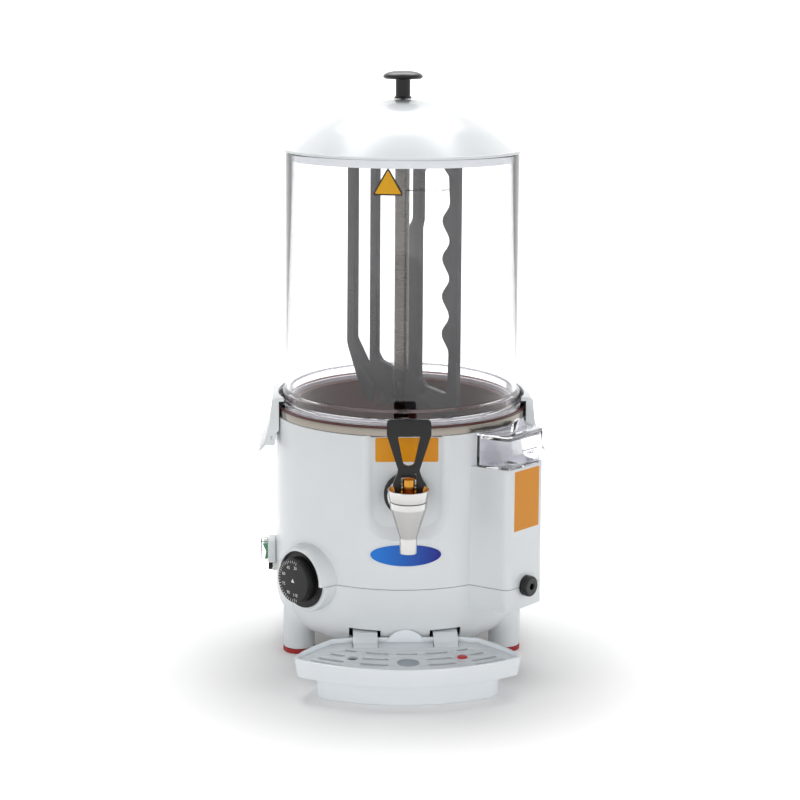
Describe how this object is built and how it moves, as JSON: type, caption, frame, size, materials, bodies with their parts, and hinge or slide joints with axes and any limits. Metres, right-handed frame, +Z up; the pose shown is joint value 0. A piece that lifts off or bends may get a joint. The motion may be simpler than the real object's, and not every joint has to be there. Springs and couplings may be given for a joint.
{
  "type": "hot chocolate dispenser",
  "caption": "Counter-top hot drink dispenser: heated drum on legs, clear tank with a paddle stirrer and domed lid, lever tap, side latches and a slotted drip tray.",
  "frame": {"origin": "on the table under the middle of the whole object", "axes": "+Z up, front with the tap and the drip tray towards -Y, +X to the right seen from the front"},
  "size_m": [0.283, 0.364, 0.5706],
  "materials": {
    "shell": "glossy white moulding",
    "clear": "clear, polished",
    "steel": "satin",
    "chrome": "polished",
    "coating": "non-stick coating, satin",
    "black": "satin black",
    "paddle": "satin dark grey",
    "rubber_red": "matte",
    "rubber": "matte",
    "green": "glossy, lit when on",
    "tray": "glossy bluish white",
    "red": "glossy",
    "brass": "machined",
    "grey": "matte"
  },
  "bodies": {
    "housing": {"lower_housing": "shell", "foot_front_left": "rubber_red", "foot_front_right": "rubber_red", "foot_rear_left": "rubber_red", "foot_rear_right": "rubber_red", "upper_housing": "shell", "rim_band": "steel", "basin": "coating", "tank": "clear", "column_tube": "steel", "motor_plate": "steel", "gearbox": "grey", "gear_motor": "steel", "tap_body": "chrome", "tap_washer": "black", "tap_seal": "rubber", "tap_nut": "steel", "tap_bonnet": "chrome", "tap_spring": "steel", "latch_pin_left": "steel", "latch_pin_right": "steel", "thermostat_bezel": "black", "thermostat_body": "grey", "thermostat_bulb": "brass", "switch_body": "shell", "switch_cover": "clear", "safety_cutout": "shell", "water_box": "clear", "level_pipe": "steel", "drain_pipe": "steel", "rear_cover": "shell", "cable_gland": "black", "base_plate": "steel", "water_jacket": "steel", "heater": "steel", "tank_seal": "rubber"},
    "lid": {"lid": "shell", "lid_knob": "black", "lid_screw": "steel"},
    "stirrer": {"stirrer": "paddle", "drive_shaft": "steel", "drive_coupling": "steel"},
    "lever": {"tap_lever": "black", "tap_pin": "steel"},
    "valve_stem": {"tap_plunger": "brass", "plunger_seal": "rubber"},
    "latch_left": {"latch_left": "shell", "latch_pad_left": "rubber"},
    "latch_right": {"latch_right": "shell", "latch_pad_right": "rubber"},
    "dial": {"thermostat_knob": "black"},
    "rocker": {"switch_rocker": "green"},
    "reset": {"reset_button": "black"},
    "tray": {"drip_tray": "tray"},
    "grid": {"drip_grid": "tray"},
    "float": {"tray_float": "red"},
    "box_lid": {"water_box_lid": "clear"},
    "plug": {"drain_plug": "black"}
  },
  "joints": [
    {"name": "lid_lift", "type": "slide", "parent": "housing", "child": "lid", "axis": [0, 0, 1], "range_m": [0, 0.1]},
    {"name": "stirrer_turn", "type": "hinge", "parent": "housing", "child": "stirrer", "pos_m": [0, 0.032, 0.3], "axis": [0, 0, 1], "continuous": true},
    {"name": "lever_tip", "type": "hinge", "parent": "housing", "child": "lever", "pos_m": [0, -0.138, 0.197], "axis": [1, 0, 0], "range_deg": [0, 28], "stiffness_Nm_per_rad": 0.12, "springref_deg": -17.19},
    {"name": "stem_lift", "type": "slide", "parent": "housing", "child": "valve_stem", "axis": [0, 0, 1], "range_m": [0, 0.0031], "deforming": ["tap_spring"]},
    {"name": "latch_left_swing", "type": "hinge", "parent": "housing", "child": "latch_left", "pos_m": [-0.1288, 0.032, 0.2133], "axis": [0, -1, 0], "range_deg": [0, 40]},
    {"name": "latch_right_swing", "type": "hinge", "parent": "housing", "child": "latch_right", "pos_m": [0.1288, 0.032, 0.2133], "axis": [0, 1, 0], "range_deg": [0, 40]},
    {"name": "dial_turn", "type": "hinge", "parent": "housing", "child": "dial", "pos_m": [-0.09764, -0.05905, 0.0868], "axis": [0.7314, 0.682, 0], "range_deg": [0, 270]},
    {"name": "rocker_tip", "type": "hinge", "parent": "housing", "child": "rocker", "pos_m": [-0.1315, 0.032, 0.0903], "axis": [0, 1, 0], "range_deg": [0, 14]},
    {"name": "reset_push", "type": "slide", "parent": "housing", "child": "reset", "axis": [1, 0, 0], "range_m": [0, 0.002], "stiffness_N_per_m": 300, "springref_m": -0.002},
    {"name": "tray_pull", "type": "slide", "parent": "housing", "child": "tray", "axis": [0, -1, 0], "range_m": [0, 0.08]},
    {"name": "grid_lift", "type": "slide", "parent": "tray", "child": "grid", "axis": [0, 0, 1], "range_m": [0, 0.04]},
    {"name": "float_rise", "type": "slide", "parent": "tray", "child": "float", "axis": [0, 0, 1], "range_m": [0, 0.008]},
    {"name": "box_lid_lift", "type": "slide", "parent": "housing", "child": "box_lid", "axis": [0, 0, 1], "range_m": [0, 0.03]},
    {"name": "plug_pull", "type": "slide", "parent": "housing", "child": "plug", "axis": [0.7193, -0.6947, 0], "range_m": [0, 0.02]}
  ],
  "couplings": [
    {"joint": "stem_lift", "follows": "lever_tip", "m_per_rad": 0.00613}
  ]
}
